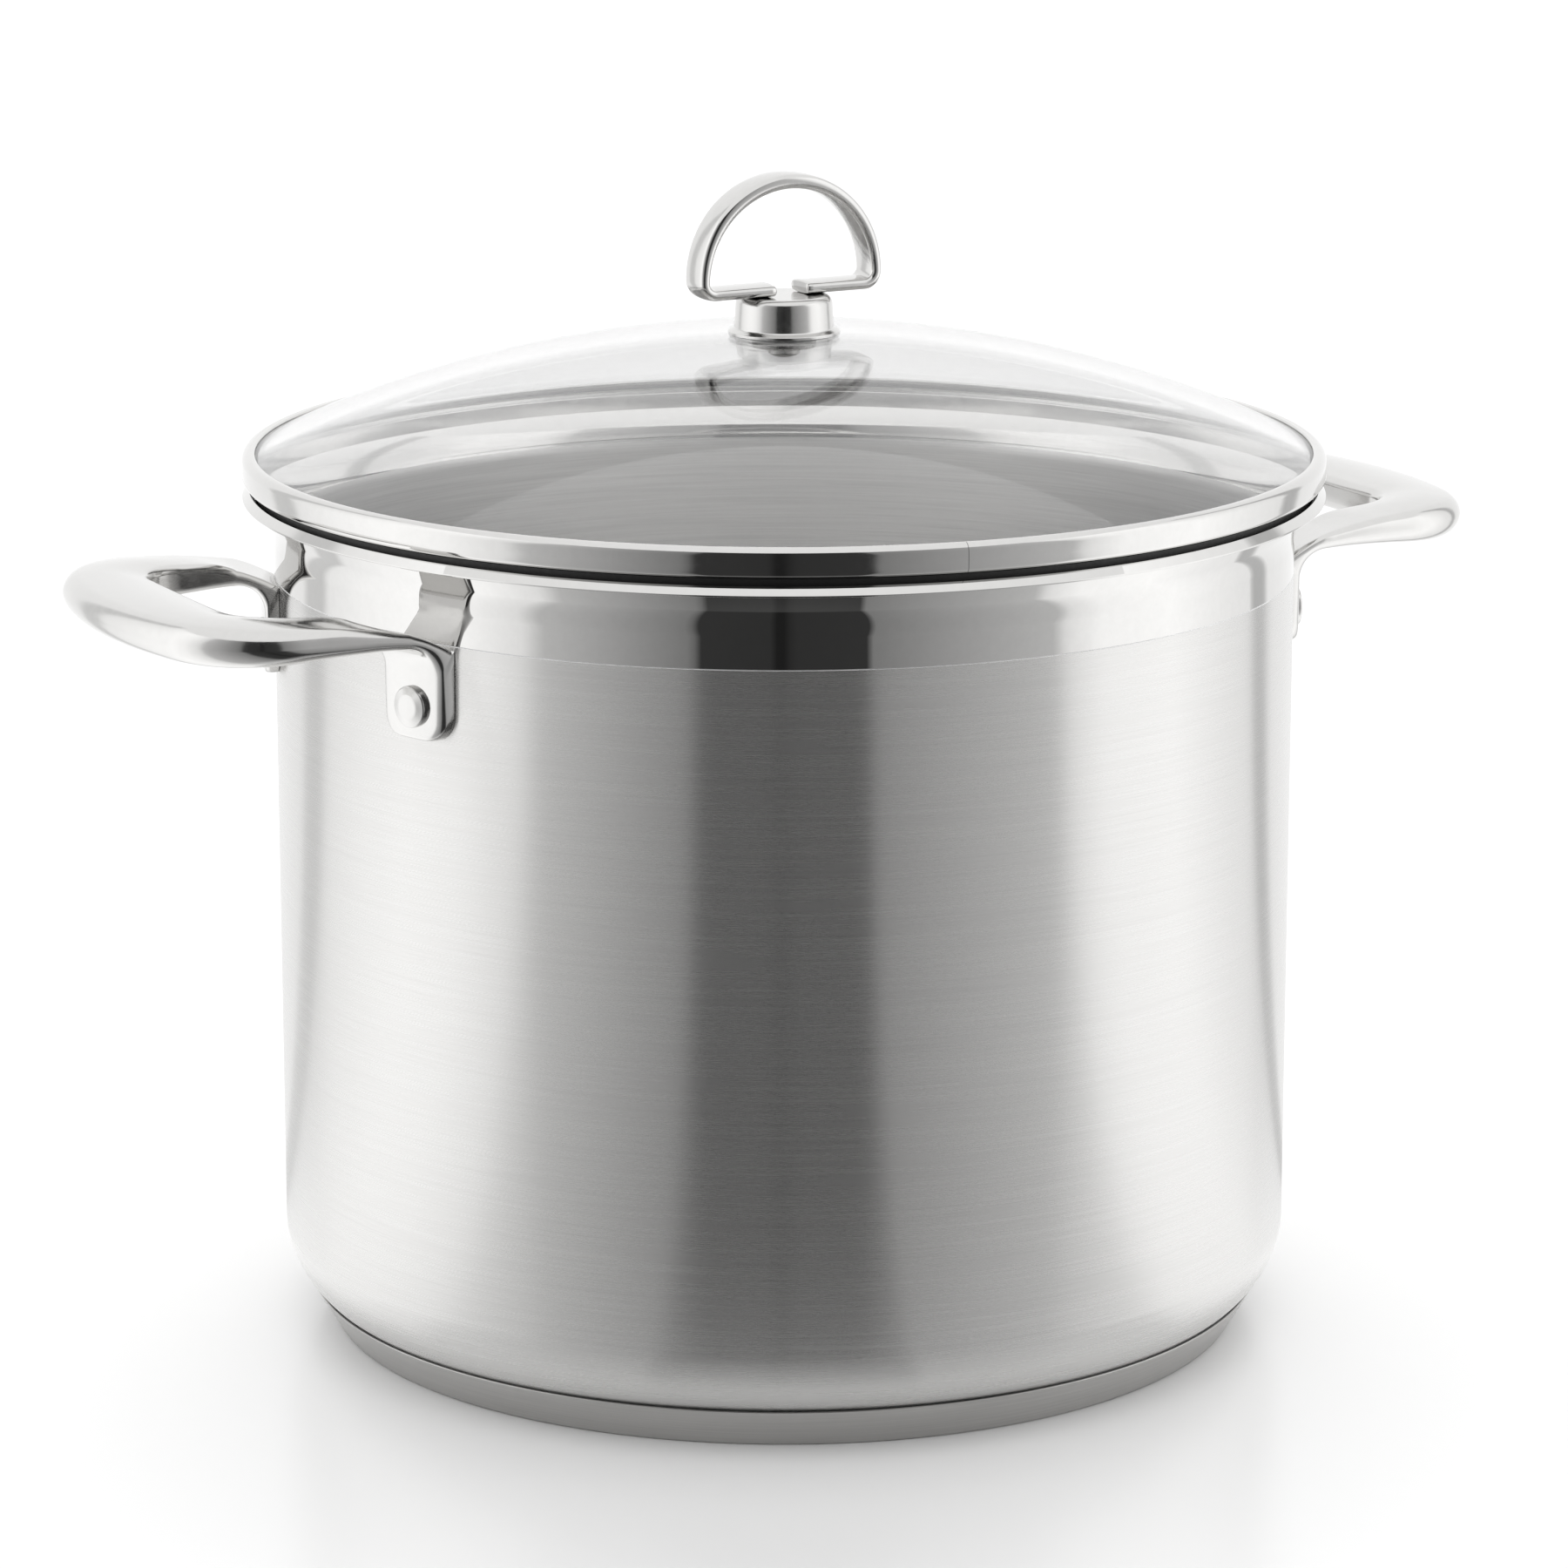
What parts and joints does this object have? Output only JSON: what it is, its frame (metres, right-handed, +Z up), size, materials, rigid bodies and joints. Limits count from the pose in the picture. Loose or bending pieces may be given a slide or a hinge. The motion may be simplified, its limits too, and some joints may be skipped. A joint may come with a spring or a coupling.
{
  "type": "stock pot",
  "caption": "Tall stainless steel stock pot with riveted loop handles, a thick base disc and a domed glass lid with a steel ring and a loop knob.",
  "frame": {"origin": "centre of the face the pot stands on", "axes": "+Z up through the knob, +X through the right handle, so the two handles lie on +X and -X"},
  "size_m": [0.3496, 0.256, 0.2758],
  "materials": {
    "pot_steel": "fine brushing round the wall, mirror polish above the etched line and on the rim",
    "base_steel": "satin with turned rings underneath",
    "base_aluminium": "plain rolled, sealed inside the base",
    "handle_steel": "polished stainless steel",
    "rivet_steel": "satin",
    "lid_glass": "clear tempered glass",
    "ring_steel": "polished stainless steel",
    "knob_steel": "polished stainless steel",
    "fastener_steel": "plain bright steel",
    "silicone": "translucent grey silicone"
  },
  "bodies": {
    "pot": {"pot_body": "pot_steel", "base_cap": "base_steel", "base_core": "base_aluminium", "left_handle": "handle_steel", "right_handle": "handle_steel", "left_front_rivet": "rivet_steel", "left_rear_rivet": "rivet_steel", "right_front_rivet": "rivet_steel", "right_rear_rivet": "rivet_steel"},
    "lid": {"lid_glass": "lid_glass", "lid_ring": "ring_steel", "knob_cup": "knob_steel", "knob_loop": "knob_steel", "knob_nut": "fastener_steel", "knob_gasket": "silicone", "glass_bushing": "silicone", "seal_washer": "silicone", "knob_washer": "fastener_steel", "knob_screw": "fastener_steel"}
  },
  "joints": [
    {"name": "lid_lift", "type": "slide", "parent": "pot", "child": "lid", "axis": [0, 0, 1], "range_m": [0, 0.15]}
  ]
}
